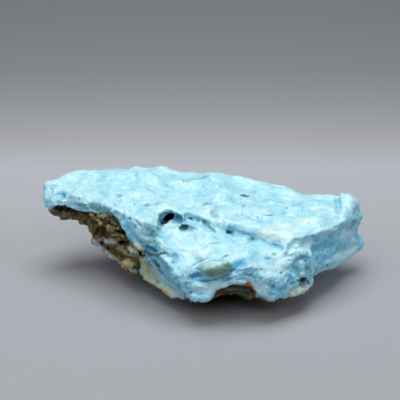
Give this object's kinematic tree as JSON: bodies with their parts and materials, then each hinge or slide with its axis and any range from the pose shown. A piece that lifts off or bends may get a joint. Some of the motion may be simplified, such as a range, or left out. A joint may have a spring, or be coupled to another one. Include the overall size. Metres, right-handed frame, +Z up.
{
  "type": "blue aragonite specimen",
  "caption": "Rough piece of blue aragonite: a waxy pale-blue crust with vugs and ledges, grown on a brown porous matrix, resting on a small natural flat",
  "frame": {"origin": "centre of the stone's footprint box, on the surface it lies on", "axes": "+X along the stone's length, to its high right end; +Y to its back; +Z up. The terrace and the cavities face -Y"},
  "size_m": [0.1218, 0.0622, 0.0355],
  "materials": {
    "stone": "waxy pale-blue crust, blue and teal in its hollows, over brown porous matrix"
  },
  "bodies": {
    "root": {"aragonite": "stone"}
  },
  "joints": []
}
